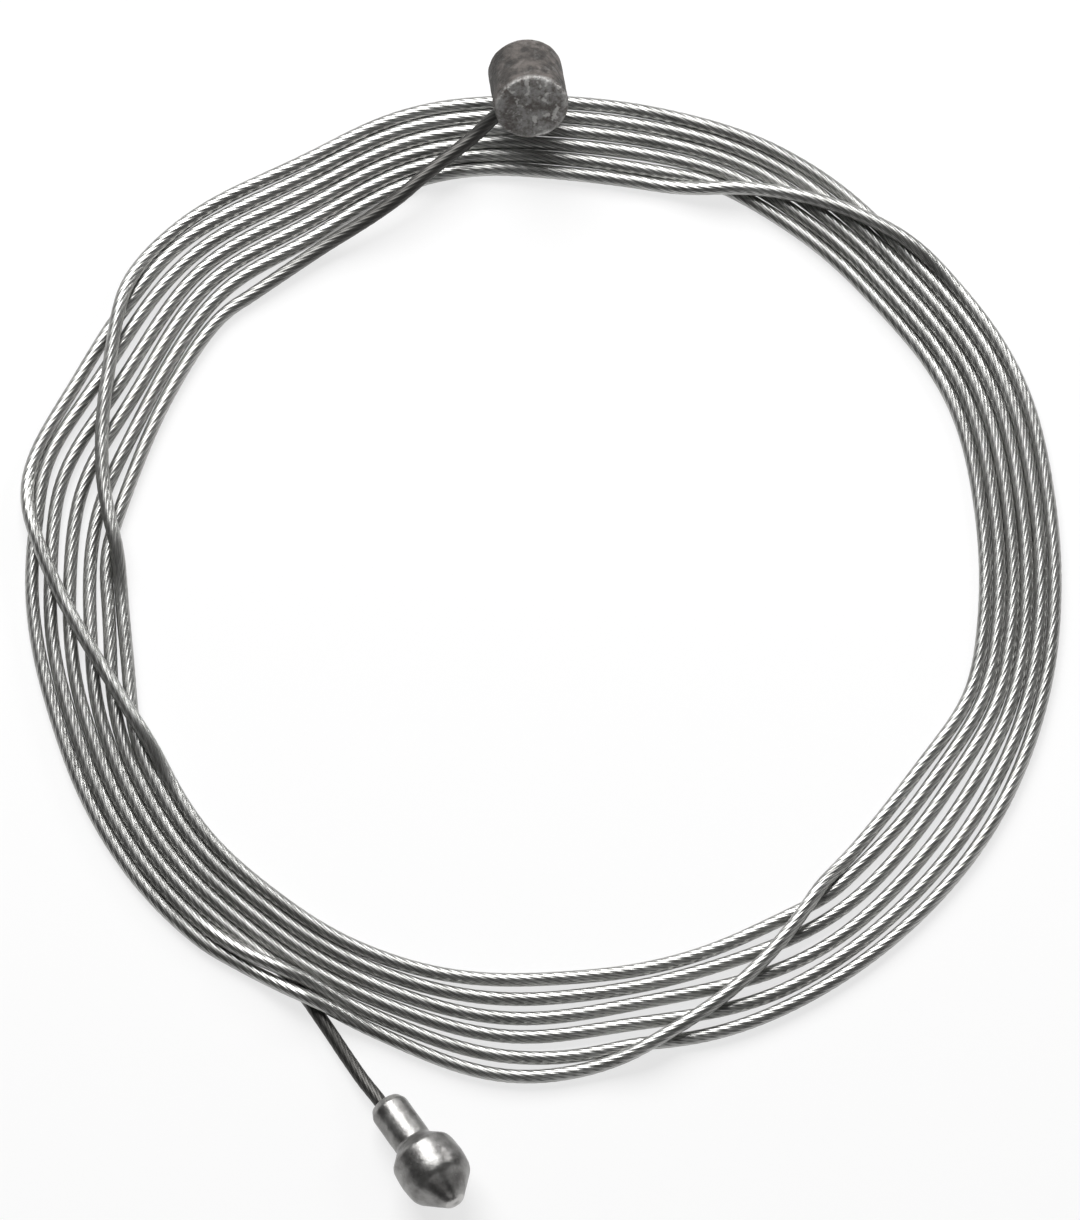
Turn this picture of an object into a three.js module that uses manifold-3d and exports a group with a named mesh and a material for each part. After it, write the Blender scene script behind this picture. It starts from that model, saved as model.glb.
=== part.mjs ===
// Inner brake cable for a bicycle: one length of steel strand wound into a loose round coil,
// with a barrel nipple cast on one end and a pear nipple cast on the other.
// Units are millimetres, +Z is up, and the coil lies flat on the plane z = 0.

import * as THREE from 'three';
import { mergeVertices } from 'three/addons/utils/BufferGeometryUtils.js';
import Module from 'manifold-3d';

// Strand
const STRAND_D = 1.5;
const STRAND_SIDES = 8;
const STEP_IN_DIAMETERS = 2;

// Clearance between pieces that touch on the real cable
const CLEARANCE = 0.3;

// Coil: a flat band of turns, a layer thick at its edges and thicker where turns cross
const COIL_INNER_R = 45.3;
const COIL_BAND_W = 10.2;
const COIL_LAYERS = 1.6;
const COIL_OUTER_SHOULDER_W = 2.25;
const COIL_FOOT_CHAMFER = 0.4;
const COIL_SEGMENTS = 96;

// Barrel nipple: a short cylinder that leans over the coil with its lower rim on the outer turns
const BARREL_D = 8.0;
const BARREL_L = 7.8;
const BARREL_EDGE_R = 0.45;
const BARREL_SEGMENTS = 48;
const BARREL_SEAT_ANGLE = 91.5;
const BARREL_SEAT_FROM_EDGE = 1.6;
const BARREL_LEAN = 41;
const BARREL_HEADING = -82.3;
const BARREL_BORE_BELOW_LEVEL = 38;
const BARREL_BORE_DEPTH = 2.0;

// Pear nipple: a plain neck, a flare, a round belly, a knee and a blunt cone at the tip
const PEAR_NECK_D = 4.3;
const PEAR_NECK_L = 5.7;
const PEAR_MOUTH_CHAMFER = 0.4;
const PEAR_HEAD_D = 7.6;
const PEAR_FLARE_L = 1.5;
const PEAR_FLARE_SHARE = 0.945;
const PEAR_BELLY_L = 4.2;
const PEAR_BELLY_STEPS = 4;
const PEAR_KNEE_D = 4.3;
const PEAR_KNEE_L = 1.5;
const PEAR_CONE_L = 1.4;
const PEAR_TIP_D = 1.2;
const PEAR_SEGMENTS = 48;
const PEAR_ANGLE = 254.05;
const PEAR_FROM_EDGE = 4.8;
const PEAR_HEADING = -57.2;
const PEAR_BORE_OFFSET = 0.35;
const PEAR_BORE_DEPTH = 3.0;

// Finishes
const STEEL = { color: 0x8b8c8a, roughness: 0.34, metalness: 0.9 };
const DULL_ZINC = { color: 0x56524e, roughness: 0.72, metalness: 0.55 };
const BRIGHT_ZINC = { color: 0x7c7a77, roughness: 0.42, metalness: 0.8 };

// How far a bore's cutting bar stands out past the face that it enters
const CUT_OVERRUN = 1;

// Sizes that follow from the ones above
const STRAND_R = STRAND_D / 2;
const BORE_R = STRAND_R + CLEARANCE;
const COIL_OUTER_R = COIL_INNER_R + COIL_BAND_W;
const COIL_TOP = COIL_LAYERS * STRAND_D;
const COIL_RISE = COIL_TOP - STRAND_D;
const UP = new THREE.Vector3(0, 0, 1);

// Barrel lead, from the barrel to the coil's inner edge: angle in degrees, distance out from the
// inner edge and height of the strand's centre above the coil's single layer.
const BARREL_LEAD_ROUTE = [
  [98.3, 4.45, 2.25],
  [100.7, 3.3, 2.0],
  [103.3, 2.2, 1.95],
  [106.3, 1.05, 1.95],
  [109.5, 0.0, 1.6],
  [113.4, -0.7, 1.0],
  [117.6, -1.05, 0.5],
  [121.8, -1.1, 0.0],
  [125.9, -1.1, -0.45],
  [130.0, -1.1, -0.65],
];

// Pear lead, from under the coil's outer edge to the pear: angle in degrees, distance out from
// the outer edge and height of the strand's centre above its height on the ground.
const PEAR_LEAD_ROUTE = [
  [248.0, 0.95, 0.0],
  [249.0, 1.5, 0.05],
  [250.3, 2.45, 0.2],
  [251.5, 3.4, 0.5],
];

const wasm = await Module();
wasm.setup();

// A point at an angle and radius about the coil's centre.
function polar(angle, radius, height) {
  const a = THREE.MathUtils.degToRad(angle);
  return new THREE.Vector3(radius * Math.cos(a), radius * Math.sin(a), height);
}

// A unit vector that heads one way over the ground and climbs by the given angle.
function climbing(heading, climb) {
  const c = THREE.MathUtils.degToRad(climb);
  return polar(heading, Math.cos(c), Math.sin(c));
}

function closed(geometry) {
  const bare = geometry.clone();
  bare.deleteAttribute('normal');
  bare.deleteAttribute('uv');
  return mergeVertices(bare, 1e-5);
}

function toSolid(geometry) {
  const merged = closed(geometry);
  const vertProperties = Float32Array.from(merged.attributes.position.array);
  const triVerts = Uint32Array.from(merged.index.array);
  return new wasm.Manifold(new wasm.Mesh({ numProp: 3, vertProperties, triVerts }));
}

function toGeometry(solid) {
  const mesh = solid.getMesh();
  const geometry = new THREE.BufferGeometry();
  geometry.setAttribute('position', new THREE.BufferAttribute(mesh.vertProperties, 3));
  geometry.setIndex(new THREE.BufferAttribute(mesh.triVerts, 1));
  return geometry;
}

function named(name, geometry, finish) {
  const mesh = new THREE.Mesh(geometry, new THREE.MeshStandardMaterial(finish));
  mesh.name = name;
  return mesh;
}

// A lathe turned so that its axis runs along +Z, from points of radius and height.
function turned(profile, segments) {
  const points = profile.map(([radius, height]) => new THREE.Vector2(radius, height));
  return new THREE.LatheGeometry(points, segments).rotateX(Math.PI / 2);
}

// A round bar along +Z that cuts the strand's bore.
function boreTool(from, to) {
  const length = to - from;
  const bar = new THREE.CylinderGeometry(BORE_R, BORE_R, length, 16);
  return bar.rotateX(Math.PI / 2).translate(0, 0, from + length / 2);
}

// The strand as a plain tube along a smooth curve through the points.
function strandTube(points) {
  const path = new THREE.CatmullRomCurve3(points, false, 'centripetal');
  const steps = Math.ceil(path.getLength() / (STEP_IN_DIAMETERS * STRAND_D));
  const section = new THREE.Shape();
  for (let i = 0; i < STRAND_SIDES; i += 1) {
    const a = (2 * Math.PI * i) / STRAND_SIDES;
    const x = STRAND_R * Math.cos(a);
    const y = STRAND_R * Math.sin(a);
    if (i === 0) section.moveTo(x, y);
    else section.lineTo(x, y);
  }
  section.closePath();
  return new THREE.ExtrudeGeometry(section, { steps, extrudePath: path, bevelEnabled: false });
}

// The outer shape of the wound turns: a low shoulder outside, then a slope up to the middle of
// the band and one down to the inner turn.
function coilGeometry() {
  const shoulderInner = COIL_OUTER_R - COIL_OUTER_SHOULDER_W;
  return turned([
    [COIL_INNER_R + COIL_FOOT_CHAMFER, 0],
    [COIL_OUTER_R - COIL_FOOT_CHAMFER, 0],
    [COIL_OUTER_R, COIL_FOOT_CHAMFER],
    [COIL_OUTER_R, STRAND_D - COIL_FOOT_CHAMFER],
    [COIL_OUTER_R - COIL_FOOT_CHAMFER, STRAND_D],
    [shoulderInner, STRAND_D],
    [shoulderInner - COIL_RISE, COIL_TOP],
    [COIL_INNER_R + COIL_RISE, COIL_TOP],
    [COIL_INNER_R, STRAND_D],
    [COIL_INNER_R, COIL_FOOT_CHAMFER],
    [COIL_INNER_R + COIL_FOOT_CHAMFER, 0],
  ], COIL_SEGMENTS);
}

// Barrel nipple about its own axis, its lower end face at the origin, bored from the side.
function barrelGeometry() {
  const r = BARREL_D / 2;
  const e = BARREL_EDGE_R;
  const halfEdge = e * (1 - Math.SQRT1_2);
  const body = turned([
    [0, 0],
    [r - e, 0],
    [r - halfEdge, halfEdge],
    [r, e],
    [r, BARREL_L - e],
    [r - halfEdge, BARREL_L - halfEdge],
    [r - e, BARREL_L],
    [0, BARREL_L],
  ], BARREL_SEGMENTS);
  const bore = boreTool(r - BARREL_BORE_DEPTH, r + CUT_OVERRUN).rotateY(Math.PI / 2).translate(0, 0, BARREL_L / 2);
  return toGeometry(toSolid(body).subtract(toSolid(bore)));
}

// Pear nipple's outline as radius and distance from the mouth of its neck.
function pearProfile() {
  const neck = PEAR_NECK_D / 2;
  const head = PEAR_HEAD_D / 2;
  const shoulder = head * PEAR_FLARE_SHARE;
  const flareEnd = PEAR_NECK_L + PEAR_FLARE_L;
  const knee = flareEnd + PEAR_BELLY_L + PEAR_KNEE_L;
  const tip = knee + PEAR_CONE_L;
  const belly = [];
  for (let i = 0; i <= PEAR_BELLY_STEPS; i += 1) {
    const share = i / PEAR_BELLY_STEPS;
    const swell = (head - shoulder) * Math.sin(Math.PI * share);
    belly.push([shoulder + swell, flareEnd + share * PEAR_BELLY_L]);
  }
  return [
    [0, 0],
    [neck - PEAR_MOUTH_CHAMFER, 0],
    [neck, 2 * PEAR_MOUTH_CHAMFER],
    [neck, PEAR_NECK_L],
    ...belly,
    [PEAR_KNEE_D / 2, knee],
    [PEAR_TIP_D / 2, tip],
    [0, tip],
  ];
}

// Pear nipple about its own axis, its mouth at the origin, bored a little off its axis.
function pearGeometry() {
  const body = turned(pearProfile(), PEAR_SEGMENTS);
  const bore = boreTool(-CUT_OVERRUN, PEAR_BORE_DEPTH).translate(PEAR_BORE_OFFSET, 0, 0);
  return toGeometry(toSolid(body).subtract(toSolid(bore)));
}

// The pear lies on its neck's rim and its belly: its tilt, and the height of its mouth's centre.
function pearRest() {
  const rim = [PEAR_NECK_D / 2, 2 * PEAR_MOUTH_CHAMFER];
  const belly = pearProfile().filter(([, along]) => along > PEAR_NECK_L);
  const tilt = Math.max(...belly.map(([radius, along]) => Math.atan2(radius - rim[0], along - rim[1])));
  const height = rim[0] * Math.cos(tilt) - rim[1] * Math.sin(tilt);
  return { climb: THREE.MathUtils.radToDeg(tilt), height };
}

// Where the barrel lies: its axis, its lower end's centre and the way its bore faces.
function barrelPlace() {
  const axis = climbing(BARREL_HEADING, BARREL_LEAN);
  const level = new THREE.Vector3().crossVectors(axis, UP).normalize();
  const down = new THREE.Vector3().crossVectors(axis, level).normalize();
  const seat = polar(BARREL_SEAT_ANGLE, COIL_OUTER_R - BARREL_SEAT_FROM_EDGE, STRAND_D + CLEARANCE);
  const lowEnd = seat.clone().addScaledVector(down, -BARREL_D / 2);
  const turn = THREE.MathUtils.degToRad(BARREL_BORE_BELOW_LEVEL);
  const bore = level.clone().multiplyScalar(Math.cos(turn)).addScaledVector(down, Math.sin(turn));
  return { axis, lowEnd, bore };
}

const coil = named('cable_coil', coilGeometry(), STEEL);

const place = barrelPlace();
const barrel = named('barrel_nipple', barrelGeometry(), DULL_ZINC);
const across = new THREE.Vector3().crossVectors(place.axis, place.bore);
barrel.quaternion.setFromRotationMatrix(new THREE.Matrix4().makeBasis(place.bore, across, place.axis));
barrel.position.copy(place.lowEnd);

const barrelMiddle = place.lowEnd.clone().addScaledVector(place.axis, BARREL_L / 2);
const alongBore = (distance) => barrelMiddle.clone().addScaledVector(place.bore, distance);
const barrelLead = named('barrel_lead', strandTube([
  alongBore(BARREL_D / 2 - BARREL_BORE_DEPTH + CLEARANCE),
  alongBore(BARREL_D / 2 + STRAND_R),
  ...BARREL_LEAD_ROUTE.map(([angle, out, height]) => polar(angle, COIL_INNER_R + out, STRAND_D + height)),
]), STEEL);

const rest = pearRest();
const pear = named('pear_nipple', pearGeometry(), BRIGHT_ZINC);
const pearAxis = climbing(PEAR_HEADING, rest.climb);
const pearSide = new THREE.Vector3().crossVectors(pearAxis, UP).normalize();
const pearAbove = new THREE.Vector3().crossVectors(pearAxis, pearSide);
pear.quaternion.setFromRotationMatrix(new THREE.Matrix4().makeBasis(pearSide, pearAbove, pearAxis));
pear.position.copy(polar(PEAR_ANGLE, COIL_OUTER_R + PEAR_FROM_EDGE, rest.height));

const pearMouth = pear.position.clone().addScaledVector(pearSide, PEAR_BORE_OFFSET);
const alongPear = (distance) => pearMouth.clone().addScaledVector(pearAxis, distance);
const pearLead = named('pear_lead', strandTube([
  ...PEAR_LEAD_ROUTE.map(([angle, out, height]) => polar(angle, COIL_OUTER_R + out, STRAND_R + height)),
  alongPear(-STRAND_R),
  alongPear(PEAR_BORE_DEPTH - CLEARANCE),
]), STEEL);

const cable = new THREE.Group();
cable.add(coil, barrelLead, pearLead, barrel, pear);

// The origin is the middle of the whole cable's footprint, on the ground.
cable.updateMatrixWorld(true);
const extent = new THREE.Box3().setFromObject(cable, true);
const middle = extent.getCenter(new THREE.Vector3());
cable.position.set(-middle.x, -middle.y, -extent.min.z);

export default cable;
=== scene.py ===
"""Inner brake cable for a bicycle: a loose coil of steel strand with a nipple on each end.

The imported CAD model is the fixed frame. Sizes in the classes are millimetres, as they are in the
part's source, and every mesh is made in metres.
"""

import logging
import math
from dataclasses import dataclass, field
from enum import Enum
from typing import Any

import bmesh
import bpy
import numpy as np
from mathutils import Matrix, Vector, noise


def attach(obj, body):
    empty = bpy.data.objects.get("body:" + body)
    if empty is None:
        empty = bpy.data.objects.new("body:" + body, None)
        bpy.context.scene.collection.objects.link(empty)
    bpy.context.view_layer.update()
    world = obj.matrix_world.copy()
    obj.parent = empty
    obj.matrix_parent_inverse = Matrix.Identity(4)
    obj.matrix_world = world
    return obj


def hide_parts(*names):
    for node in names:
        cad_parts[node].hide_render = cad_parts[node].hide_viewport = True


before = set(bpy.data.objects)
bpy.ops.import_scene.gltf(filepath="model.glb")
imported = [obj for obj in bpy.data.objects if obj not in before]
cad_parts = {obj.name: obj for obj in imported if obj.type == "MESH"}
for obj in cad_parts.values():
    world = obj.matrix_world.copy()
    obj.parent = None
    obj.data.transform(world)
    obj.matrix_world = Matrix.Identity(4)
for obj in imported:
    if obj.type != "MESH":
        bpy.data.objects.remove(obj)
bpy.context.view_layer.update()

MM = 0.001
RING_CENTRE = np.array((0.0, 5.5499, 0.0))
STRAND_DIAMETER = 1.5
WIRES = 12
INNER_EDGE = 45.3
OUTER_EDGE = 55.5

Colour = tuple[float, float, float, float]
Point = tuple[float, float, float]
EdgeTable = tuple[tuple[float, float], ...]

log = logging.getLogger("brake_cable")


class Slot(Enum):
    """Material slots of the record."""

    STRAND = "strand_steel"
    BARREL = "barrel_zinc"
    PEAR = "pear_zinc"


class Value:
    """A shader socket that Python's operators add Math nodes to."""

    def __init__(self, nodes: "Nodes", socket: bpy.types.NodeSocket) -> None:
        """Wrap one output socket of the given builder's tree."""
        self.nodes = nodes
        self.socket = socket

    def _math(self, operation: str, first: Any, second: Any = 0.0) -> "Value":
        """Add a Math node.

        Args:
            operation: The node's operation.
            first: A value or number.
            second: A value or number.

        Returns:
            The node's result.
        """
        return self.nodes.add("ShaderNodeMath", {"operation": operation}, {0: first, 1: second})

    def __add__(self, other: Any) -> "Value":
        """Return self + other."""
        return self._math("ADD", self, other)

    def __radd__(self, other: Any) -> "Value":
        """Return other + self."""
        return self._math("ADD", other, self)

    def __sub__(self, other: Any) -> "Value":
        """Return self - other."""
        return self._math("SUBTRACT", self, other)

    def __rsub__(self, other: Any) -> "Value":
        """Return other - self."""
        return self._math("SUBTRACT", other, self)

    def __mul__(self, other: Any) -> "Value":
        """Return self * other."""
        return self._math("MULTIPLY", self, other)

    def __rmul__(self, other: Any) -> "Value":
        """Return other * self."""
        return self._math("MULTIPLY", other, self)

    def __pow__(self, other: Any) -> "Value":
        """Return self ** other."""
        return self._math("POWER", self, other)

    def __abs__(self) -> "Value":
        """Return the size of self."""
        return self._math("ABSOLUTE", self)

    def fraction(self) -> "Value":
        """Return the part of self past its whole number."""
        return self._math("FRACT", self)

    def whole(self) -> "Value":
        """Return the whole number at or under self."""
        return self._math("FLOOR", self)

    def between(self, low: float, high: float) -> "Value":
        """Fade from 0 to 1 as self goes from one number to another.

        Args:
            low: Where the fade starts.
            high: Where it ends.

        Returns:
            The smooth fade.
        """
        return self.nodes.add(
            "ShaderNodeMapRange",
            {"interpolation_type": "SMOOTHSTEP"},
            {"Value": self, "From Min": low, "From Max": high},
        )


class Nodes:
    """Builds one material's or world's node tree."""

    def __init__(self, tree: bpy.types.NodeTree) -> None:
        """Start from an empty tree."""
        self.tree = tree
        tree.nodes.clear()

    def add(
        self,
        kind: str,
        settings: dict[str, Any] | None = None,
        sockets: dict[Any, Any] | None = None,
        output: Any = 0,
    ) -> Value:
        """Add any node.

        Args:
            kind: The node's type.
            settings: Its properties, which are set first.
            sockets: Numbers, colours or values for its inputs, by name or place.
            output: The output to return, by name or place.

        Returns:
            The chosen output.
        """
        node = self.tree.nodes.new(kind)
        for name, setting in (settings or {}).items():
            setattr(node, name, setting)
        for key, given in (sockets or {}).items():
            if isinstance(given, Value):
                self.tree.links.new(given.socket, node.inputs[key])
            else:
                node.inputs[key].default_value = given
        return Value(self, node.outputs[output] if node.outputs else node.inputs[0])

    def mix(self, share: Any, first: Any, second: Any) -> Value:
        """Mix two colours.

        Args:
            share: How much of the second, 0 to 1.
            first: A colour or a value.
            second: A colour or a value.

        Returns:
            The mixed colour.
        """
        return self.add("ShaderNodeMix", {"data_type": "RGBA"}, {0: share, 6: first, 7: second}, 2)

    def noise(
        self, place: Value, scale: float, detail: float = 2.0, roughness: float = 0.5
    ) -> Value:
        """Add a Noise Texture.

        Args:
            place: The coordinates that it reads.
            scale: Its scale.
            detail: Its number of octaves.
            roughness: How strong the finer octaves are.

        Returns:
            The noise, about 0 to 1.
        """
        sockets = {"Vector": place, "Scale": scale, "Detail": detail, "Roughness": roughness}
        return self.add("ShaderNodeTexNoise", None, sockets)

    def bump(self, height: Value, distance: float, strength: float) -> Value:
        """Add a Bump node.

        Args:
            height: The height to follow.
            distance: The height's size in metres.
            strength: The bump's strength.

        Returns:
            The normal.
        """
        sockets = {"Height": height, "Distance": distance, "Strength": strength}
        return self.add("ShaderNodeBump", None, sockets, "Normal")

    def surface(self, **sockets: Any) -> None:
        """Add the Principled shader and the output, with names such as Base_Color for sockets."""
        given = {name.replace("_", " "): value for name, value in sockets.items()}
        shader = self.add("ShaderNodeBsdfPrincipled", None, given, "BSDF")
        self.add("ShaderNodeOutputMaterial", None, {"Surface": shader})


def new_material(name: str) -> tuple[bpy.types.Material, Nodes]:
    """Make a node material.

    Args:
        name: The material's name.

    Returns:
        The material and its node builder.
    """
    material = bpy.data.materials.new(name)
    material.use_nodes = True
    return material, Nodes(material.node_tree)


@dataclass(frozen=True)
class StrandSteel:
    """Drawn steel wire: bright along each wire's crown, with painted shade and grease between the
    wires.
    """

    crown: Colour = (0.58, 0.58, 0.565, 1.0)
    shade: Colour = (0.28, 0.28, 0.27, 1.0)
    # Darker colour of the strand near both its ends.
    end_dark: Colour = (0.09, 0.088, 0.084, 1.0)
    # Painted shade, with some grease, for the valleys between the wires.
    valley_shade: Colour = (0.05, 0.05, 0.048, 1.0)
    wires: int = WIRES
    metallic: float = 0.96
    roughness: float = 0.41
    relief: float = 0.00002
    length: float = 2.055
    # How far from each end the darkening of the strand fades, in metres.
    dark_start: tuple[float, float] = (0.018, 0.045)
    dark_end: tuple[float, float] = (0.022, 0.014)

    def make(self) -> bpy.types.Material:
        """Return the finish as a material that reads the strand's own UV map."""
        material, nodes = new_material("strand_steel")
        uv = nodes.add("ShaderNodeUVMap", {"uv_map": "wires"})
        around = nodes.add("ShaderNodeSeparateXYZ", None, {0: uv}, "X") * float(self.wires)
        along = nodes.add("ShaderNodeSeparateXYZ", None, {0: uv}, "Y")
        side = abs(around.fraction() * 2.0 - 1.0)
        crown = 1.0 - side ** 2.0
        each_wire = nodes.add(
            "ShaderNodeCombineXYZ", None, {"X": around.whole() * 3.7, "Y": along * 60.0, "Z": 0.0}
        )
        streaks = nodes.add(
            "ShaderNodeCombineXYZ", None, {"X": around * 5.0, "Y": along * 240.0, "Z": 0.0}
        )
        tone = nodes.noise(each_wire, 1.0, 2.0)
        drawn = nodes.noise(streaks, 1.0, 3.0, 0.6)
        bright = nodes.mix((tone * 0.7 + drawn * 0.5).between(0.35, 0.85), self.shade, self.crown)
        # The strand is painted darker and rougher near both its ends.
        near_pear = along.between(*(self.length - reach for reach in self.dark_end))
        away_from_ends = along.between(*self.dark_start) * (1.0 - near_pear)
        metal = nodes.mix(away_from_ends, self.end_dark, bright)
        # Painted shade, with some grease: the valleys between the wires are painted dark.
        colour = nodes.mix(crown.between(0.0, 0.45), self.valley_shade, metal)
        worn = crown.between(0.1, 0.9)
        nodes.surface(
            Base_Color=colour,
            Metallic=self.metallic,
            Roughness=self.roughness - worn * 0.10 + drawn * 0.04 + (1.0 - away_from_ends) * 0.12,
            Normal=nodes.bump(crown ** 0.5 + drawn * 0.03, self.relief, 0.25),
        )
        return material


@dataclass(frozen=True)
class BarrelZinc:
    """Dull cast zinc, dark warm grey and pitted, with wear and a painted highlight on its rims,
    painted light on its end face and painted shade round the strand's exit.
    """

    dark: Colour = (0.050, 0.046, 0.043, 1.0)
    pale: Colour = (0.165, 0.147, 0.136, 1.0)
    # Painted light: the paler grey of the end face.
    lit_face_grey: Colour = (0.44, 0.435, 0.425, 1.0)
    # Bright colour of the rims' wear and painted highlight, and of the end face's specks.
    worn: Colour = (0.72, 0.71, 0.69, 1.0)
    # Painted shade round the strand's exit.
    exit_shade: Colour = (0.030, 0.028, 0.026, 1.0)
    cloud_scale: float = 700.0
    grain_scale: float = 2600.0
    dent_scale: float = 1040.0
    metallic: float = 0.6
    roughness: float = 0.60
    relief: float = 0.0003

    def make(self) -> bpy.types.Material:
        """Return the finish as a material."""
        material, nodes = new_material("barrel_zinc")
        place = nodes.add("ShaderNodeTexCoord", None, None, "Object")
        rim_wear_and_highlight = nodes.add("ShaderNodeAttribute", {"attribute_name": "rim_wear_and_highlight"}, None, "Fac")
        face = nodes.add("ShaderNodeAttribute", {"attribute_name": "face"}, None, "Fac")
        # How much painted shade lies on each point round the strand's exit.
        exit_shaded = nodes.add("ShaderNodeAttribute", {"attribute_name": "exit_shaded"}, None, "Fac")
        cloud = nodes.noise(place, self.cloud_scale, 3.0, 0.6)
        grain = nodes.noise(place, self.grain_scale, 3.0, 0.65)
        dents = nodes.noise(place, self.dent_scale, 2.5, 0.55)
        specks = dents.between(0.56, 0.66)
        body = nodes.mix(cloud.between(0.35, 0.7), self.dark, self.pale)
        # Painted light: the end face is painted paler than the side.
        cast = nodes.mix((grain * 0.4 + cloud * 0.6).between(0.38, 0.62), self.pale, self.lit_face_grey)
        body_and_lit_face = nodes.mix(face * 0.9, body, cast)
        speckled = nodes.mix(specks * (face * 0.8 + 0.05), body_and_lit_face, self.worn)
        # Wear and a painted highlight on the rims.
        rubbed_and_highlit = nodes.mix(rim_wear_and_highlight * grain.between(0.4, 0.65) * 0.55, speckled, self.worn)
        # Painted shade round the strand's exit, weaker on the end face.
        colour = nodes.mix(exit_shaded * (1.0 - face * 0.6), rubbed_and_highlit, self.exit_shade)
        nodes.surface(
            Base_Color=colour,
            Metallic=self.metallic - face * 0.2,
            Roughness=self.roughness - rim_wear_and_highlight * 0.2 + cloud * 0.12 - specks * 0.15,
            Normal=nodes.bump(grain * 0.4 + cloud + dents * face * 1.5, self.relief, 0.8),
        )
        return material


@dataclass(frozen=True)
class PearZinc:
    """Plated zinc: brighter and smoother than the barrel, faintly pitted, with wear and a painted
    highlight at its edges.
    """

    dark: Colour = (0.15, 0.146, 0.142, 1.0)
    pale: Colour = (0.31, 0.306, 0.298, 1.0)
    # Bright colour of the edges' wear and painted highlight.
    worn: Colour = (0.62, 0.61, 0.595, 1.0)
    cloud_scale: float = 550.0
    grain_scale: float = 3000.0
    metallic: float = 0.88
    roughness: float = 0.29
    relief: float = 0.00010

    def make(self) -> bpy.types.Material:
        """Return the finish as a material."""
        material, nodes = new_material("pear_zinc")
        place = nodes.add("ShaderNodeTexCoord", None, None, "Object")
        rim_wear_and_highlight = nodes.add("ShaderNodeAttribute", {"attribute_name": "rim_wear_and_highlight"}, None, "Fac")
        cloud = nodes.noise(place, self.cloud_scale, 3.0, 0.55)
        grain = nodes.noise(place, self.grain_scale, 2.0, 0.6)
        body = nodes.mix(cloud.between(0.3, 0.7), self.dark, self.pale)
        # Wear and a painted highlight on the edges, and bright grain at random.
        colour = nodes.mix(rim_wear_and_highlight * 0.7 + grain.between(0.62, 0.78) * 0.25, body, self.worn)
        nodes.surface(
            Base_Color=colour,
            Metallic=self.metallic,
            Roughness=self.roughness + cloud * 0.12 - rim_wear_and_highlight * 0.04,
            Normal=nodes.bump(grain * 0.4 + cloud, self.relief, 0.5),
        )
        return material


@dataclass(frozen=True)
class SoftLamp:
    """One square area lamp that faces the cable."""

    name: str
    place: Point
    side: float
    power: float

    def make(self) -> bpy.types.Object:
        """Return the lamp, in the scene, turned to the middle of the coil."""
        data = bpy.data.lights.new(self.name, "AREA")
        data.shape = "SQUARE"
        data.size = self.side
        data.energy = self.power
        lamp = bpy.data.objects.new(self.name, data)
        lamp.location = self.place
        lamp.rotation_mode = "QUATERNION"
        lamp.rotation_quaternion = (-Vector(self.place)).to_track_quat("-Z", "Y")
        bpy.context.scene.collection.objects.link(lamp)
        return lamp


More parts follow.
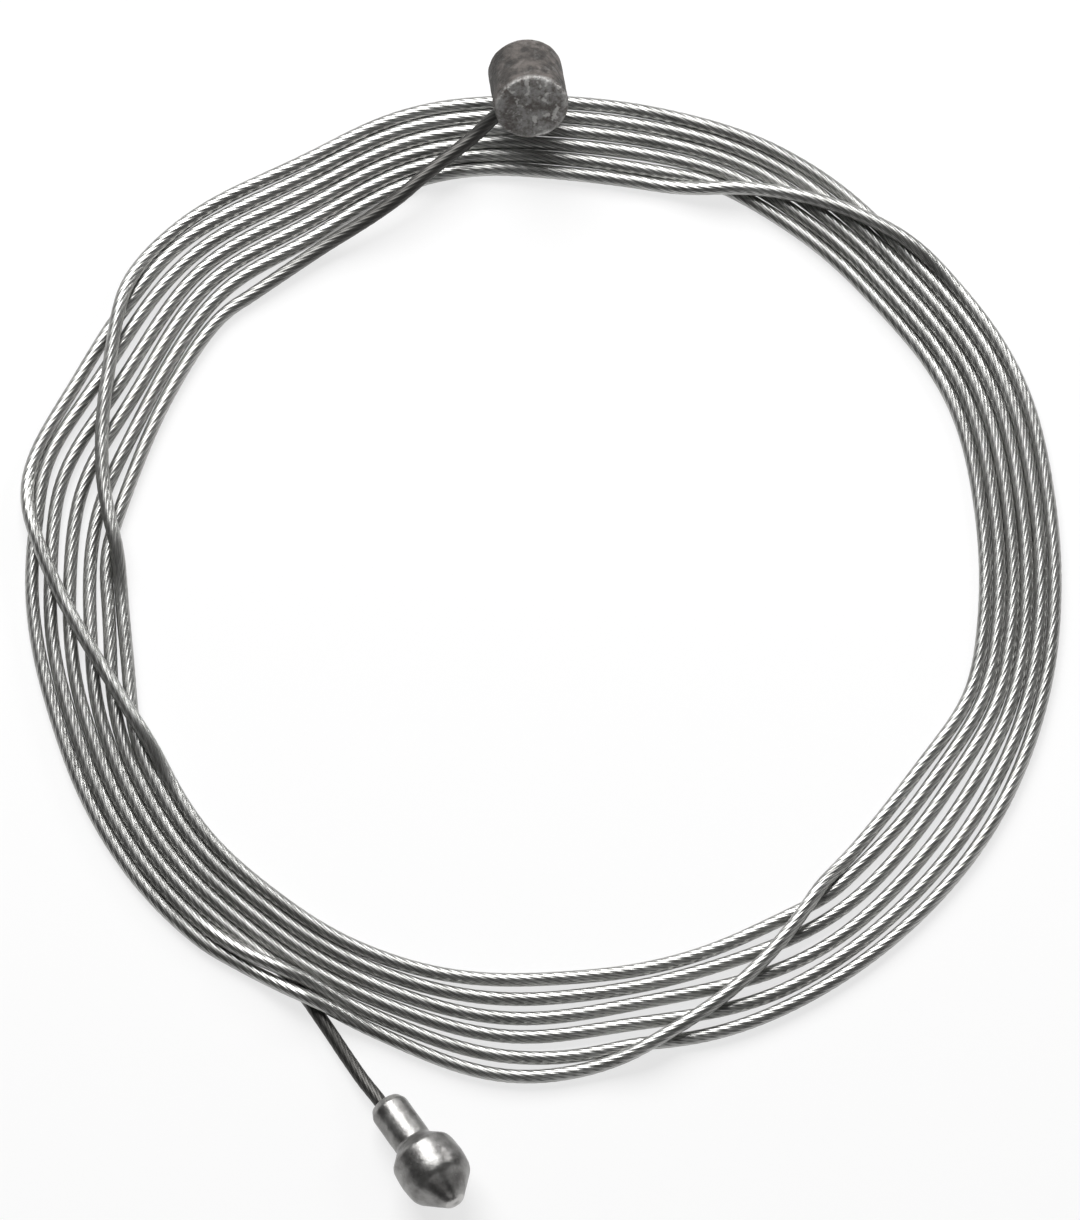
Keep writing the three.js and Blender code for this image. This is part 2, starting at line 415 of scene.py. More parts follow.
@dataclass
class Studio:
    """Camera at the photograph's angle, pale floor, dim world and soft lamps."""

    elevation: float = 75.0
    lens: float = 1200.0
    sensor: float = 36.0
    photo_height: float = 1220.0
    pixels_per_mm: float = 9.3
    aim: tuple[float, float] = (-0.097, -2.54)
    world_grey: float = 0.05
    floor_white: float = 0.73
    floor_half: float = 3.0
    paper: float = 0.92
    white: Colour = (1.0, 1.0, 1.0, 1.0)
    lamps: tuple[SoftLamp, ...] = (
        SoftLamp("key_lamp", (-0.20, 0.50, 0.56), 0.56, 8.0),
        SoftLamp("back_lamp", (0.10, 0.64, 0.42), 0.20, 0.5),
        SoftLamp("side_lamp", (0.14, 0.16, 0.12), 0.06, 0.14),
        SoftLamp("front_lamp", (0.12, -0.55, 0.50), 0.25, 0.22),
        SoftLamp("right_lamp", (0.70, -0.24, 0.26), 0.50, 0.50),
    )

    def camera(self) -> bpy.types.Object:
        """Return the scene's camera, which looks along +Y and down on the coil."""
        tilt = math.radians(self.elevation)
        up = Vector((0.0, math.sin(tilt), math.cos(tilt)))
        back = Vector((0.0, -math.cos(tilt), math.sin(tilt)))
        data = bpy.data.cameras.new("camera")
        data.lens = self.lens
        data.sensor_width = self.sensor
        distance = self.lens * (self.photo_height / self.pixels_per_mm) / self.sensor
        across = Vector((1.0, 0.0, 0.0))
        aim = Vector(RING_CENTRE) + self.aim[0] * across + self.aim[1] * up
        camera = bpy.data.objects.new("camera", data)
        camera.location = (aim + distance * back) * MM
        camera.rotation_euler = (math.pi / 2 - tilt, 0.0, 0.0)
        bpy.context.scene.collection.objects.link(camera)
        bpy.context.scene.camera = camera
        return camera

    def floor(self) -> bpy.types.Object:
        """Return the floor: a wide white sheet that keeps the cable's soft shadow."""
        bm = bmesh.new()
        bmesh.ops.create_grid(bm, x_segments=1, y_segments=1, size=self.floor_half)
        mesh = bpy.data.meshes.new("floor")
        bm.to_mesh(mesh)
        bm.free()
        floor = bpy.data.objects.new("floor", mesh)
        bpy.context.scene.collection.objects.link(floor)
        material, nodes = new_material("floor")
        grey = (self.paper, self.paper, self.paper, 1.0)
        paper = nodes.add("ShaderNodeBsdfDiffuse", None, {"Color": grey})
        glow = nodes.add("ShaderNodeEmission", None, {"Color": self.white, "Strength": 1.0})
        seen = self._seen(nodes) * self.floor_white
        both = nodes.add("ShaderNodeMixShader", None, {0: seen, 1: paper, 2: glow})
        nodes.add("ShaderNodeOutputMaterial", None, {"Surface": both})
        mesh.materials.append(material)
        return floor

    def _seen(self, nodes: Nodes) -> Value:
        """Return 1 for rays of the camera, of gloss and through glass, otherwise 0."""
        rays = [
            nodes.add("ShaderNodeLightPath", None, None, name)
            for name in ("Is Camera Ray", "Is Glossy Ray", "Is Transmission Ray")
        ]
        return nodes.add(
            "ShaderNodeMath",
            {"operation": "ADD", "use_clamp": True},
            {0: rays[0] + rays[1], 1: rays[2]},
        )

    def world(self) -> None:
        """Give the scene a dim, even world."""
        world = bpy.data.worlds.new("world")
        world.use_nodes = True
        nodes = Nodes(world.node_tree)
        sky = nodes.add(
            "ShaderNodeBackground", None, {"Color": self.white, "Strength": self.world_grey}
        )
        nodes.add("ShaderNodeOutputWorld", None, {"Surface": sky})
        bpy.context.scene.world = world

    def build(self) -> None:
        """Make the camera, the floor, the world and the lamps."""
        self.camera()
        self.floor()
        self.world()
        for lamp in self.lamps:
            lamp.make()
        bpy.context.scene.view_settings.view_transform = "Standard"


def smooth_step(share: np.ndarray | float) -> np.ndarray | float:
    """Return the smooth fade from 0 to 1 of a share, or of each of many."""
    held = np.clip(share, 0.0, 1.0)
    return held * held * (3.0 - 2.0 * held)


def polar(angle: float, radius: float, height: float) -> np.ndarray:
    """Return a point about the ring's centre, in the frame's millimetres."""
    turn = math.radians(angle)
    return RING_CENTRE + np.array((radius * math.cos(turn), radius * math.sin(turn), height))


@dataclass(frozen=True)
class Crossing:
    """A stretch where the outermost turn runs over the others to the inner edge, in degrees."""

    start: float
    end: float


@dataclass(frozen=True)
class Move:
    """One turn's change of lane between two angles, on the floor or over the others."""

    start: float
    end: float
    lanes: int
    over: bool


@dataclass
class WoundTurns:
    """The turns of the coil, laid in lanes between its two edges and settled on the floor.

    Angles are degrees, counted on from turn to turn. A turn changes lane where it crosses the
    others, and then gravity, stiffness and contact settle every turn.
    """

    diameter: float = STRAND_DIAMETER
    centre: tuple[float, float] = (-0.204, 5.1499)
    squash: float = 0.987
    first: float = 130.0
    last: float = 2408.0
    step: float = 2.0
    seam: float = 94.0
    leave: float = 242.0
    lead_joins: tuple[float, float] = (120.0, 140.0)
    leaving_lane: int = 5
    straight: tuple[float, float] = (212.5, 45.7)
    lanes: tuple[int, ...] = (1, 6, 4, 2, 7, 5, 3)
    crossings: tuple[Crossing, ...] = (
        Crossing(138.0, 180.0),
        Crossing(166.0, 206.0),
        Crossing(275.5, 318.0),
        Crossing(402.0, 432.0),
    )
    start_radius: float = 45.1
    start_height: float = 0.85
    rounds: int = 600
    pull: float = 0.03
    stiffness: float = 0.05
    sink: float = 0.015
    crossing_lift: float = 1.15
    lane_change: float = 14.0
    leave_span: tuple[float, float] = (-16.0, 6.0)
    sway: float = 0.6
    outer: EdgeTable = (
        (0, 55.59), (10, 55.59), (15, 55.91), (20, 56.77), (25, 56.99), (30, 56.77), (35, 56.45),
        (40, 55.91), (45, 56.02), (55, 56.24), (65, 56.24), (75, 55.91), (85, 55.70),
        (100, 55.91), (110, 55.38), (120, 55.16), (125, 55.91), (130, 56.77), (135, 57.10),
        (140, 56.99), (147, 56.02), (150, 55.48), (155, 55.48), (160, 56.13), (166, 57.42),
        (170, 56.56), (175, 55.59), (190, 54.84), (200, 54.30), (210, 53.87), (230, 53.76),
        (240, 53.33), (250, 53.44), (255, 54.09), (262, 55.38), (268, 55.91), (275, 55.16),
        (280, 54.19), (285, 53.98), (300, 54.84), (315, 55.48), (330, 56.13), (345, 56.24),
        (355, 55.81),
    )
    inner: EdgeTable = (
        (0, 47.85), (10, 48.39), (20, 48.82), (30, 49.14), (40, 48.71), (50, 48.39), (60, 48.28),
        (65, 48.39), (70, 47.31), (75, 46.56), (80, 46.24), (85, 46.13), (90, 46.34),
        (95, 46.88), (103, 47.31), (110, 46.24), (115, 45.16), (120, 44.62),
        (125, 44.62), (130, 45.16), (133, 45.70), (140, 45.16), (150, 44.73), (160, 44.62),
        (170, 44.95), (175, 44.84), (180, 44.41), (185, 43.98), (190, 44.09), (195, 44.52),
        (203, 45.16), (218, 45.70), (225, 45.16), (235, 44.41), (245, 44.09), (255, 43.98),
        (270, 43.23), (275, 43.12), (290, 43.76), (300, 44.30), (310, 44.62), (320, 44.19),
        (325, 44.19), (335, 44.95), (340, 46.02), (345, 47.31), (355, 47.53),
    )
    inner_under_lead: EdgeTable = (
        (90, 46.34), (95, 46.88), (103, 47.70), (107, 47.75), (110, 47.30), (115, 46.20),
        (120, 45.70), (125, 45.70), (130, 46.25), (135, 46.55), (140, 46.50),
    )

    def _edge(self, table: EdgeTable, angles: np.ndarray) -> np.ndarray:
        """Read an edge's radius.

        Args:
            table: Angles and radii round the ring.
            angles: Where to read it, in degrees.

        Returns:
            The radius at each angle, a little smoothed.
        """
        known = np.array(table, float)
        turns = np.concatenate([known[:, 0] - 360.0, known[:, 0], known[:, 0] + 360.0])
        radii = np.tile(known[:, 1], 3)
        before, here, after = (
            np.interp(np.mod(angles + shift, 360.0), turns, radii) for shift in (-3.0, 0.0, 3.0)
        )
        return 0.25 * before + 0.5 * here + 0.25 * after

    def _leaving(self) -> tuple[float, float]:
        """Return the angles between which the outer turns close over the leaving one."""
        return self.leave + self.leave_span[0], self.leave + self.leave_span[1]

    def _moves(self) -> list[list[Move]]:
        """Return each turn's changes of lane, in the order in which it meets them."""
        lanes = list(self.lanes)
        moves: list[list[Move]] = [[] for _ in lanes]
        count = len(lanes)
        for crossing in self.crossings:
            if crossing.start > self.leave and count == len(lanes):
                leaver = lanes.index(self.leaving_lane)
                for turn, lane in enumerate(lanes):
                    if lane > self.leaving_lane:
                        moves[turn].append(Move(*self._leaving(), -1, True))
                        lanes[turn] -= 1
                lanes[leaver] = 0
                count -= 1
            runner = lanes.index(count)
            for turn, lane in enumerate(lanes):
                if turn == runner or lane == 0:
                    continue
                share = (count - lane - 0.5) / (count - 1)
                place = crossing.start + (crossing.end - crossing.start) * share
                start, end = place - self.lane_change, place + self.lane_change
                moves[turn].append(Move(start, end, 1, False))
                lanes[turn] += 1
            moves[runner].append(Move(crossing.start, crossing.end, 1 - count, True))
            lanes[runner] = 1
        return moves

    def _planned(self, angles: np.ndarray) -> tuple[np.ndarray, np.ndarray]:
        """Plan the turns' radii and how far each is lifted over the others.

        Args:
            angles: The samples' angles.

        Returns:
            The planned radius of each sample, and its lift from 0 to 1.
        """
        turn = np.maximum(np.floor((angles - self.seam) / 360.0), 0.0)
        local = angles - 360.0 * turn
        lane = np.zeros_like(angles)
        lift = np.zeros_like(angles)
        for number, moves in enumerate(self._moves()):
            mine = turn == number
            at = local[mine]
            held = np.full_like(at, float(self.lanes[number]))
            raised = np.zeros_like(at)
            for move in moves:
                held += move.lanes * smooth_step((at - move.start) / (move.end - move.start))
                if move.over:
                    rise = smooth_step((at - move.start + 2.0) / 7.0)
                    drop = smooth_step((at - move.end + 6.0) / 8.0)
                    raised = np.maximum(raised, rise * (1.0 - drop))
            lane[mine] = held
            lift[mine] = raised
        half = self.diameter / 2
        outer = self._edge(self.outer, angles)
        inner = self._edge(self.inner, angles)
        start, end = self._leaving()
        count = float(len(self.lanes)) - smooth_step((local - start) / (end - start))
        share = (lane - 1.0) / (count - 1.0)
        radius = inner + half + (outer - inner - self.diameter) * share
        under = self._edge(self.inner_under_lead, angles)
        share_before = (lane - 2.0) / (len(self.lanes) - 2.0)
        before = under + half + (outer - under - self.diameter) * share_before
        start, end = self.lead_joins
        joined = smooth_step((local - start) / (end - start))
        joined = np.where(turn == 0, 1.0, joined)
        radius = joined * radius + (1.0 - joined) * before
        slow = np.sin(np.radians(angles * 0.77))
        wander = 0.5 * slow + 0.5 * np.sin(np.radians(angles * 1.31 + 40.0))
        free = np.clip((outer - inner - count * self.diameter) / count, 0.0, None)
        radius += self.sway * wander * free * np.sin(np.pi * np.clip(share, 0.0, 1.0))
        away = np.radians(np.clip(local - self.straight[0], 0.0, 40.0))
        leaving = (turn == len(self.lanes) - 1) & (local > self.straight[0])
        radius = np.where(leaving, np.maximum(radius, self.straight[1] / np.cos(away)), radius)
        return radius, lift

    def _stiffen(self, values: np.ndarray) -> None:
        """Even out the bending of a line of values in place, a little at a time."""
        bend = np.zeros_like(values)
        bend[1:-1] = values[:-2] - 2.0 * values[1:-1] + values[2:]
        change = np.zeros_like(values)
        change[2:-2] = bend[1:-3] - 2.0 * bend[2:-2] + bend[3:-1]
        values -= self.stiffness * change

    def _part(
        self, radius: np.ndarray, height: np.ndarray, pairs: tuple[np.ndarray, np.ndarray]
    ) -> None:
        """Push apart the turns that overlap, in place.

        Args:
            radius: The samples' radii.
            height: The samples' heights.
            pairs: The two samples of every pair of turns at one angle.
        """
        one, other = pairs
        slope = np.gradient(radius, math.radians(self.step)) / radius
        across = np.sqrt(1.0 + (slope[other] - slope[one]) ** 2)
        total = len(radius)
        for _ in range(3):
            out = (radius[other] - radius[one]) / across
            up = height[other] - height[one]
            apart = np.sqrt(out * out + up * up) + 1e-9
            push = 0.5 * np.clip(self.diameter - apart, 0.0, None) / apart
            touching = (push > 0.0).astype(float)
            touches = np.bincount(one, touching, total) + np.bincount(other, touching, total)
            ease = 1.0 / np.sqrt(np.maximum(touches, 1.0))
            for values, way in ((radius, push * out), (height, push * up)):
                values += ease * (np.bincount(other, way, total) - np.bincount(one, way, total))
            np.maximum(height, self.diameter / 2, out=height)

    def points(self) -> np.ndarray:
        """Return the settled turns' centreline as points in the frame's millimetres."""
        angles = np.arange(self.first, self.last + 1e-6, self.step)
        planned, lift = self._planned(angles)
        radius = planned.copy()
        height = self.diameter / 2 + self.crossing_lift * self.diameter * lift
        total = len(angles)
        per_turn = int(round(360.0 / self.step))
        order = np.arange(total)
        spans = range(per_turn, total, per_turn)
        one = np.concatenate([order[: total - span] for span in spans])
        other = np.concatenate([order[span:] for span in spans])
        for _ in range(self.rounds):
            height -= self.sink
            radius += self.pull * (planned - radius)
            for values in (radius, height):
                self._stiffen(values)
                self._stiffen(values)
            radius[:2] = self.start_radius
            height[:2] = self.start_height
            radius[-2:] = planned[-2:]
            self._part(radius, height, (one, other))
        turn = np.radians(angles)
        x = self.centre[0] + radius * np.cos(turn)
        y = self.centre[1] + self.squash * radius * np.sin(turn)
        return np.stack([x, y, height], axis=1)


@dataclass
class CableRoute:
    """The strand's whole centreline, from inside the barrel to inside the pear."""

    barrel_bore: Point
    barrel_exit: Point
    pear_mouth: Point
    pear_bore: Point
    turns: WoundTurns = field(default_factory=WoundTurns)
    barrel_lead: tuple[Point, ...] = (
        (98.3, 4.45, 2.25), (100.7, 3.3, 2.0), (103.3, 2.2, 1.95), (106.3, 1.05, 1.95),
        (109.5, 0.0, 1.6), (113.4, -0.7, 1.0), (117.6, -1.05, 0.5), (121.8, -1.1, 0.0),
    )
    pear_lead: tuple[Point, ...] = (
        (249.5, 1.72, 0.12), (251.0, 2.85, 0.35),
    )
    samples: int = 12

    def knots(self) -> np.ndarray:
        """Return the points that the centreline passes through."""
        start = [np.array(self.barrel_bore), np.array(self.barrel_exit)]
        for angle, out, up in self.barrel_lead:
            start.append(polar(angle, INNER_EDGE + out, STRAND_DIAMETER + up))
        wound = self.turns.points()[2:]
        finish = []
        for angle, out, up in self.pear_lead:
            finish.append(polar(angle, OUTER_EDGE + out, STRAND_DIAMETER / 2 + up))
        finish += [np.array(self.pear_mouth), np.array(self.pear_bore)]
        return np.concatenate([np.array(start), wound, np.array(finish)])

    def centreline(self, rings: int) -> np.ndarray:
        """Follow the knots on one smooth curve.

        Args:
            rings: How many points to return.

        Returns:
            Evenly spaced points along the curve, in millimetres.
        """
        knots = self.knots()
        before, after = 2 * knots[:1] - knots[1:2], 2 * knots[-1:] - knots[-2:-1]
        padded = np.concatenate([before, knots, after])
        gaps = np.sqrt(np.linalg.norm(np.diff(padded, axis=0), axis=1))
        times = np.concatenate([[0.0], np.cumsum(gaps)])
        fine = []
        for i in range(1, len(padded) - 2):
            t0, t1, t2, t3 = times[i - 1 : i + 3]
            t = np.linspace(t1, t2, self.samples, endpoint=False)[:, None]
            p0, p1, p2, p3 = padded[i - 1 : i + 3]
            a1 = (t1 - t) / (t1 - t0) * p0 + (t - t0) / (t1 - t0) * p1
            a2 = (t2 - t) / (t2 - t1) * p1 + (t - t1) / (t2 - t1) * p2
            a3 = (t3 - t) / (t3 - t2) * p2 + (t - t2) / (t3 - t2) * p3
            b1 = (t2 - t) / (t2 - t0) * a1 + (t - t0) / (t2 - t0) * a2
            b2 = (t3 - t) / (t3 - t1) * a2 + (t - t1) / (t3 - t1) * a3
            fine.append((t2 - t) / (t2 - t1) * b1 + (t - t1) / (t2 - t1) * b2)
        curve = np.concatenate(fine + [knots[-1:]])
        for _ in range(2):
            steps = np.linalg.norm(np.diff(curve, axis=0), axis=1)
            walked = np.concatenate([[0.0], np.cumsum(steps)])
            even = np.linspace(0.0, walked[-1], rings)
            curve = np.stack([np.interp(even, walked, curve[:, k]) for k in range(3)], axis=1)
        return curve


def link_piece(bm: bmesh.types.BMesh, name: str, finish: bpy.types.Material) -> bpy.types.Object:
    """Turn a bmesh into a smooth-shaded piece at the origin.

    Args:
        bm: The mesh, in metres, in the frame. It is freed.
        name: The piece's name.
        finish: Its material.

    Returns:
        The piece, in the scene.
    """
    mesh = bpy.data.meshes.new(name)
    for face in bm.faces:
        face.smooth = True
    bm.to_mesh(mesh)
    bm.free()
    mesh.materials.append(finish)
    piece = bpy.data.objects.new(name, mesh)
    bpy.context.scene.collection.objects.link(piece)
    return piece


@dataclass
class Strand:
    """The twisted strand: outer wires laid round a core, bent on to its route."""

    route: CableRoute
    diameter: float = STRAND_DIAMETER
    wires: int = WIRES
    wire_points: int = 4
    wire_depth: float = 0.05
    lay: float = 15.0
    rings: int = 2041
    part_steps: int = 60
    name: str = "strand"

    def _straight(self, length: float) -> bmesh.types.BMesh:
        """Make the strand straight along +Z.

        Args:
            length: Its length in millimetres.

        Returns:
            The mesh in metres, with its wires laid and its UV map filled.
        """
        around = self.wires * self.wire_points
        step = length / (self.rings - 1) * MM
        turn = 2 * math.pi * length / self.lay
        part = bmesh.new()
        radius = self.diameter / 2 * MM
        ring = bmesh.ops.create_circle(part, segments=around, radius=radius)["verts"]
        for vert in ring:
            angle = math.atan2(vert.co.y, vert.co.x) % (2 * math.pi)
            crown = abs(math.sin(angle * self.wires / 2))
            vert.co *= 1.0 - self.wire_depth * (1.0 - crown) ** 1.4
        bmesh.ops.spin(
            part,
            geom=ring + list(part.edges),
            cent=(0.0, 0.0, 0.0),
            axis=(0.0, 0.0, 1.0),
            dvec=(0.0, 0.0, step),
            angle=turn * self.part_steps / (self.rings - 1),
            steps=self.part_steps,
            use_merge=False,
        )
        stretch = bpy.data.meshes.new("stretch")
        part.to_mesh(stretch)
        part.free()
        move = Matrix.Translation((0.0, 0.0, step * self.part_steps))
        onwards = move @ Matrix.Rotation(turn * self.part_steps / (self.rings - 1), 4, "Z")
        bm = bmesh.new()
        for _ in range((self.rings - 1) // self.part_steps):
            bm.from_mesh(stretch)
            stretch.transform(onwards)
        bpy.data.meshes.remove(stretch)
        bmesh.ops.remove_doubles(bm, verts=bm.verts, dist=1e-6)
        self._map_wires(bm, length, turn)
        ends = [edge for edge in bm.edges if edge.is_boundary]
        bmesh.ops.holes_fill(bm, edges=ends, sides=around)
        bmesh.ops.recalc_face_normals(bm, faces=bm.faces)
        return bm

    def _map_wires(self, bm: bmesh.types.BMesh, length: float, turn: float) -> None:
        """Fill the UV map: across the wires from 0 to 1, and metres along the strand.

        Args:
            bm: The straight strand.
            length: Its length in millimetres.
            turn: How far it is twisted, in radians.
        """
        layer = bm.loops.layers.uv.new("wires")
        for face in bm.faces:
            places = []
            for loop in face.loops:
                co = loop.vert.co
                untwisted = math.atan2(co.y, co.x) - turn * co.z / (length * MM)
                places.append((untwisted / (2 * math.pi)) % 1.0)
            if max(places) - min(places) > 0.5:
                places = [place + 1.0 if place < 0.5 else place for place in places]
            for loop, place in zip(face.loops, places):
                loop[layer].uv = (place, loop.vert.co.z)

    def _bend(self, mesh: bpy.types.Mesh, line: np.ndarray, length: float) -> None:
        """Bend the straight strand on to its route, without adding twist.

        Args:
            mesh: The straight strand's mesh.
            line: The route's evenly spaced points in millimetres.
            length: The strand's length in millimetres.
        """
        ahead = np.gradient(line, axis=0)
        ahead /= np.linalg.norm(ahead, axis=1)[:, None]
        side = np.empty_like(ahead)
        first = np.cross(ahead[0], (0.0, 0.0, 1.0))
        side[0] = first / np.linalg.norm(first)
        for i in range(1, len(line)):
            carried = side[i - 1] - ahead[i] * np.dot(side[i - 1], ahead[i])
            side[i] = carried / np.linalg.norm(carried)
        other = np.cross(ahead, side)
        places = np.empty(len(mesh.vertices) * 3)
        mesh.vertices.foreach_get("co", places)
        places = places.reshape(-1, 3)
        ring = np.rint(places[:, 2] / (length * MM) * (len(line) - 1)).astype(int)
        bent = line[ring] * MM + places[:, :1] * side[ring] + places[:, 1:2] * other[ring]
        mesh.vertices.foreach_set("co", bent.reshape(-1))
        mesh.update()

    def build(self, finish: bpy.types.Material, fitting: bpy.types.Object) -> bpy.types.Object:
        """Args:
            finish: Its material.
            fitting: The pear nipple on its far end; not used.

        Returns:
            The piece.
        """
        line = self.route.centreline(self.rings)
        length = float(np.linalg.norm(np.diff(line, axis=0), axis=1).sum())
        piece = link_piece(self._straight(length), self.name, finish)
        self._bend(piece.data, line, length)
        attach(piece, "root")
        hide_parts("cable_coil", "barrel_lead", "pear_lead")
        tuple(MM * value for value in self.route.barrel_exit)
        self.diameter * MM
        log.info("%s: %.0f mm long, %d faces", self.name, length, len(piece.data.polygons))
        return piece


@dataclass
class Nipple:
    """A cast nipple: a turned body, roughened, worn and painted with a highlight at its edges, and
    set in its place.
    """

    name: str
    node: str
    place: Point
    axis: Point
    slot: Slot
    segments: int = 112
    fine: float = 0.16
    rough: float = 0.02
    grain: float = 900.0
    longest: float = 2.2
    splits: int = 4
    rim_from: float = 0.9
    rim_span: float = 1.6
    bevel_steps: int = 5

    def outline(self) -> list[tuple[float, float]]:
        """Return the body's outline as radius and distance along its axis."""
        raise NotImplementedError

    def rounding(self) -> list[tuple[int, float]]:
        """Return the outline's corners to round: the point's number and the rounding's width."""
        raise NotImplementedError

    def _turned(self) -> bmesh.types.BMesh:
        """Return the body turned about +Z with rounded rims, in metres."""
        bm = bmesh.new()
        points = self.outline()
        verts = [bm.verts.new((radius * MM, 0.0, along * MM)) for radius, along in points]
        edges = [bm.edges.new(pair) for pair in zip(verts, verts[1:])]
        bmesh.ops.spin(
            bm,
            geom=verts + edges,
            cent=(0.0, 0.0, 0.0),
            axis=(0.0, 0.0, 1.0),
            dvec=(0.0, 0.0, 0.0),
            angle=2 * math.pi,
            steps=self.segments,
            use_merge=True,
        )
        bmesh.ops.remove_doubles(bm, verts=bm.verts, dist=1e-7)
        for number, width in self.rounding():
            radius, along = points[number]
            rim = [edge for edge in bm.edges if self._on_rim(edge, radius, along)]
            bmesh.ops.bevel(
                bm,
                geom=rim,
                offset=width * MM,
                offset_type="OFFSET",
                segments=self.bevel_steps,
                profile=0.5,
                affect="EDGES",
                material=-1,
                clamp_overlap=True,
            )
        bmesh.ops.recalc_face_normals(bm, faces=bm.faces)
        return bm

    def _on_rim(self, edge: bmesh.types.BMEdge, radius: float, along: float) -> bool:
        """Tell whether an edge runs round the body at a radius and distance along it."""
        return all(
            abs(vert.co.z - along * MM) < 1e-6 and abs(vert.co.xy.length - radius * MM) < 1e-6
            for vert in edge.verts
        )

    def _refine(self, bm: bmesh.types.BMesh) -> None:
        """Split the long faces of the body until its cast texture can show."""
        limit = self.longest * self.fine * MM
        for _ in range(self.splits):
            long_edges = [edge for edge in bm.edges if edge.calc_length() > limit]
            if not long_edges:
                break
            bmesh.ops.subdivide_edges(bm, edges=long_edges, cuts=1, use_grid_fill=True)

    def _mark_rims(self, bm: bmesh.types.BMesh) -> None:
        """Mark how sharply the body turns at each point, for the wear and painted highlight on its
        rims.
        """
        layer = bm.verts.layers.float.new("rim_wear_and_highlight")
        bm.normal_update()
        for vert in bm.verts:
            turns = [
                edge.calc_face_angle(0.0) / max(edge.calc_length() / MM, 0.05)
                for edge in vert.link_edges
            ]
            vert[layer] = min(1.0, max(0.0, (max(turns) - self.rim_from) / self.rim_span))

    def _roughen(self, bm: bmesh.types.BMesh) -> None:
        """Move the body's points in and out like a casting's skin."""
        bm.normal_update()
        shifts = [noise.fractal(vert.co * self.grain, 0.9, 2.0, 3) for vert in bm.verts]
        for vert, shift in zip(bm.verts, shifts):
            vert.co += vert.normal * shift * self.rough * MM

    def _shape(self, bm: bmesh.types.BMesh) -> None:
        """Add what this nipple has beyond its turned body."""

    def build(self, finish: bpy.types.Material) -> bpy.types.Object:
        """Make the nipple in its place.

        Args:
            finish: Its material.

        Returns:
            The piece.
        """
        bm = self._turned()
        self._mark_rims(bm)
        self._refine(bm)
        along = Vector(self.axis).to_track_quat("Z", "Y").to_matrix().to_4x4()
        bm.transform(Matrix.Translation(Vector(self.place) * MM) @ along)
        self._shape(bm)
        self._roughen(bm)
        piece = link_piece(bm, self.name, finish)
        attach(piece, "root")
        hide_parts(self.node)
        log.info("%s: %d faces", self.name, len(piece.data.polygons))
        return piece


@dataclass
class BarrelNipple(Nipple):
    """The short cast cylinder that leans on the coil, with the strand in its side."""

    diameter: float = 8.0
    length: float = 7.8
    edge: float = 0.55
    strand_exit: Point = (0.0, 0.0, 0.0)
    strand_way: Point = (0.0, 0.0, 1.0)
    collar: float = 1.35
    # How far the painted shade round the strand's exit reaches, in millimetres.
    exit_shade_reach: float = 7.0
    collar_rise: float = 0.3
    collar_depth: float = 2.5
    face_margin: float = 0.45
    face_fade: float = 0.3

    def outline(self) -> list[tuple[float, float]]:
        """Return the cylinder's outline."""
        radius = self.diameter / 2
        inner = radius * 0.5
        near = [(0, 0), (inner, 0), (radius, 0)]
        return near + [(out, self.length) for out, _ in reversed(near)]

    def rounding(self) -> list[tuple[int, float]]:
        """Return the two rims."""
        return [(2, self.edge), (3, self.edge)]

    def _shape(self, bm: bmesh.types.BMesh) -> None:
        """Draw the metal up round the strand, mark the two end faces, and mark the painted shade
        round the strand's exit.
        """
        face_layer = bm.verts.layers.float.new("face")
        exit_shade_layer = bm.verts.layers.float.new("exit_shaded")
        start = Vector(self.strand_exit) * MM
        way = Vector(self.strand_way)
        axis = Vector(self.axis)
        middle = Vector(self.place) * MM + axis * self.length / 2 * MM
        for vert in bm.verts:
            along = abs((vert.co - middle).dot(axis)) / MM
            past = along - self.length / 2 + self.face_margin
            vert[face_layer] = min(1.0, max(0.0, past / self.face_fade))
            offset = vert.co - start
            # Painted shade, fading with the distance from the strand's exit.
            vert[exit_shade_layer] = min(1.0, max(0.0, 1.25 - offset.length / MM / self.exit_shade_reach))
            depth = offset.dot(way)
            if depth < -self.collar_depth * MM:
                continue
            away = (offset - way * depth).length / MM
            share = min(1.0, max(0.0, (self.collar - away) / (self.collar - STRAND_DIAMETER / 2)))
            vert.co += way * self.collar_rise * MM * float(smooth_step(share))


@dataclass
class PearNipple(Nipple):
    """The pear nipple: a plain neck, a flare, a round belly, a knee and a blunt cone."""

    neck: float = 4.3
    neck_length: float = 5.7
    head: float = 7.6
    shoulder: float = 0.945
    flare: float = 1.5
    belly: float = 4.2
    knee: float = 4.3
    knee_length: float = 1.5
    cone: float = 1.35
    tip: float = 1.8
    mouth: float = 1.25
    mouth_depth: float = 1.1

    def outline(self) -> list[tuple[float, float]]:
        """Return the pear's outline, with the hollow of its mouth."""
        flare_end = self.neck_length + self.flare
        knee_end = flare_end + self.belly + self.knee_length
        swell = [
            (self.head / 2 * (self.shoulder + (1 - self.shoulder) * math.sin(math.pi * share)),
             flare_end + share * self.belly)
            for share in (0.0, 0.25, 0.5, 0.75, 1.0)
        ]
        return [
            (0, self.mouth_depth),
            (self.mouth, self.mouth_depth),
            (self.mouth, 0.05),
            (self.neck / 2 - 0.4, 0),
            (self.neck / 2, 0.8),
            (self.neck / 2, self.neck_length),
            *swell,
            (self.knee / 2, knee_end),
            (self.tip / 2, knee_end + self.cone),
            (0, knee_end + self.cone),
        ]

    def rounding(self) -> list[tuple[int, float]]:
        """Return the rims, from the mouth to the tip."""
        return [(3, 0.1), (4, 0.15), (5, 0.25), (6, 0.28), (10, 0.45), (11, 0.5), (12, 0.45)]


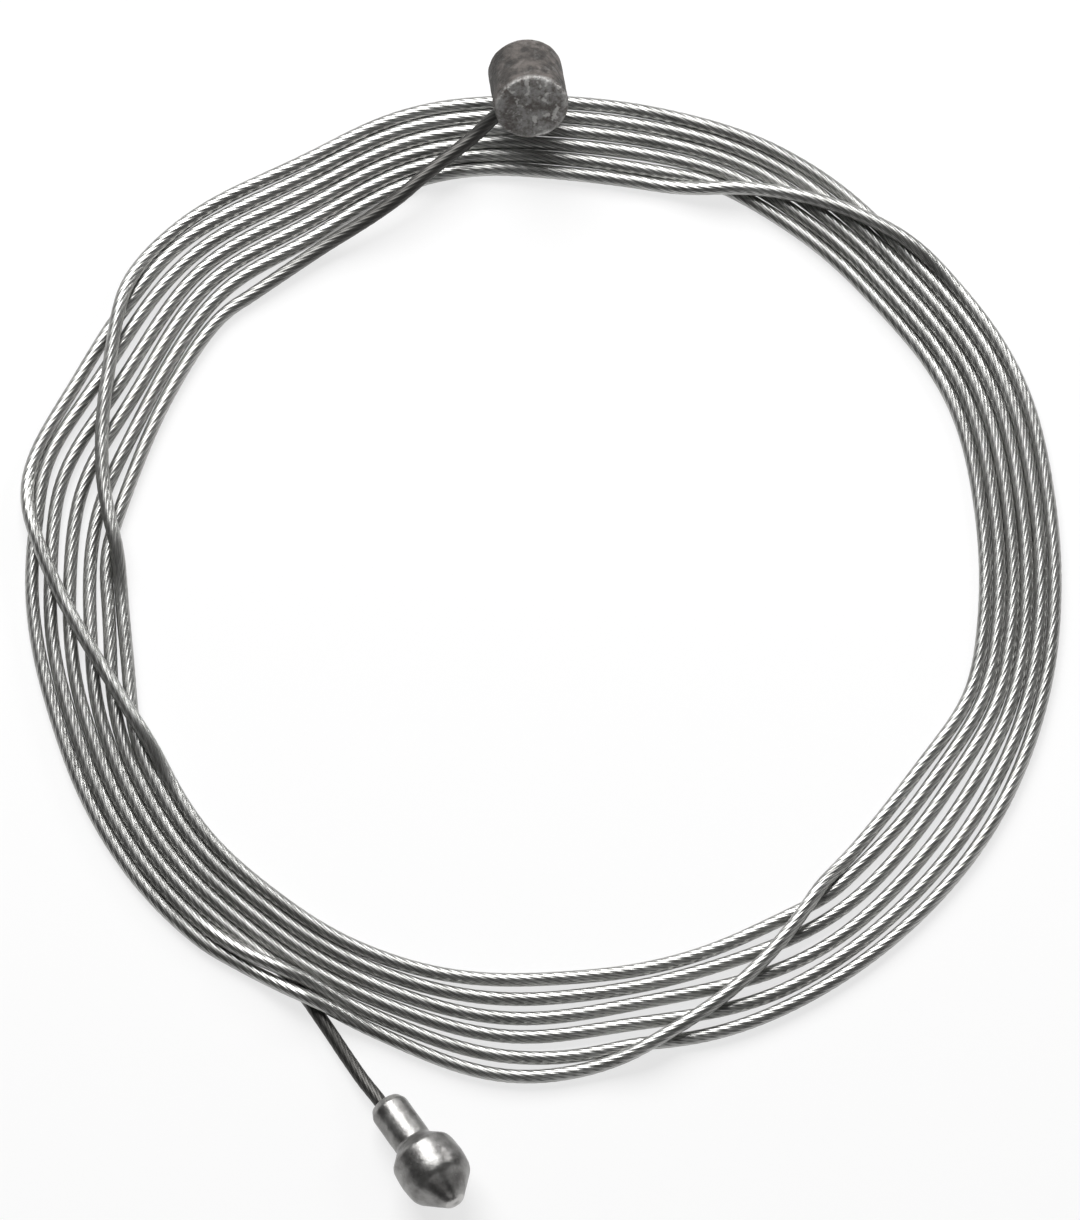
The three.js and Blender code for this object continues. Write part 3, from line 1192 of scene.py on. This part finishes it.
@dataclass
class BrakeCable:
    """The whole cable: two nipples and the strand between them."""

    barrel_end: Point = (-0.9738, 56.1983, 9.9361)
    barrel_axis: Point = (0.10112, -0.74790, 0.65606)
    bore_way: Point = (-0.72679, -0.50585, -0.46465)
    barrel_exit: Point = (-4.2753, 57.0917, 5.5189)
    pear_mouth: Point = (-16.5703, -52.4287, 1.9218)
    pear_axis: Point = (0.52848, -0.82004, 0.21966)
    bore_offset: float = 0.35
    barrel_bore: float = 1.7
    pear_bore: float = 2.7
    way_out: float = 0.75
    barrel_length: float = 7.8

    def barrel(self) -> BarrelNipple:
        """Return the barrel nipple in its place, with its end face at barrel_end."""
        start = Vector(self.barrel_end) - self.barrel_length * Vector(self.barrel_axis)
        return BarrelNipple(
            name="barrel",
            node="barrel_nipple",
            place=tuple(start),
            axis=self.barrel_axis,
            slot=Slot.BARREL,
            rough=0.045,
            length=self.barrel_length,
            strand_exit=self.barrel_exit,
            strand_way=self.bore_way,
        )

    def pear(self) -> PearNipple:
        """Return the pear nipple in its place."""
        return PearNipple(
            name="pear",
            node="pear_nipple",
            place=self.pear_mouth,
            axis=self.pear_axis,
            slot=Slot.PEAR,
            rough=0.02,
        )

    def route(self) -> CableRoute:
        """Return the strand's route between the two bores."""
        way = Vector(self.bore_way)
        exit_point = Vector(self.barrel_exit)
        axis = Vector(self.pear_axis)
        side = axis.cross(Vector((0.0, 0.0, 1.0))).normalized()
        mouth = Vector(self.pear_mouth) + side * self.bore_offset
        return CableRoute(
            barrel_bore=tuple(exit_point - way * self.barrel_bore),
            barrel_exit=tuple(exit_point + way * self.way_out),
            pear_mouth=tuple(mouth - axis * self.way_out),
            pear_bore=tuple(mouth + axis * self.pear_bore),
        )


def main() -> None:
    """Build the studio, the nipples and the strand, and report each piece."""
    logging.basicConfig(level=logging.INFO, format="%(name)s %(message)s")
    Studio().build()
    cable = BrakeCable()
    pear = cable.pear().build(PearZinc().make())
    Strand(cable.route()).build(StrandSteel().make(), pear)
    cable.barrel().build(BarrelZinc().make())


if __name__ == "__main__":
    main()
